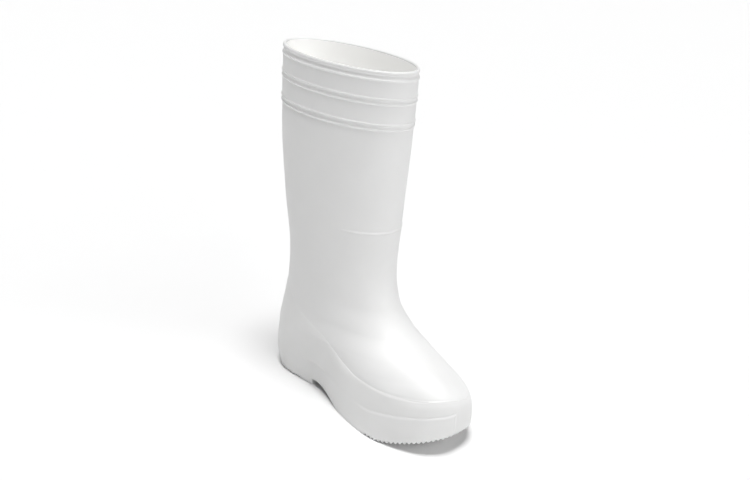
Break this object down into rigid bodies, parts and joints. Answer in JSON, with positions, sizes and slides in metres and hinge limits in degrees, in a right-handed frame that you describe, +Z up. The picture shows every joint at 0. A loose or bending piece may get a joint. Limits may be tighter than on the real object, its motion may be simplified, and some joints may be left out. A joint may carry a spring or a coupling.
{
  "type": "rubber boot",
  "caption": "White moulded rubber boot for the left foot: tall oval shaft open at a ribbed collar, hollow foot, cupped sole with rand, low heel, arch and lugs, loose insole.",
  "frame": {"origin": "on the floor below the middle of the boot's box", "axes": "+Z up along the shaft, toe towards -Y, heel towards +Y, outer side of the left foot towards +X"},
  "size_m": [0.1186, 0.297, 0.3816],
  "materials": {
    "upper_rubber": "satin moulded, fine grain",
    "sole_rubber": "satin moulded",
    "footbed": "matte foam with a fabric face"
  },
  "bodies": {
    "root": {"upper": "upper_rubber", "sole": "sole_rubber", "insole": "footbed"}
  },
  "joints": []
}
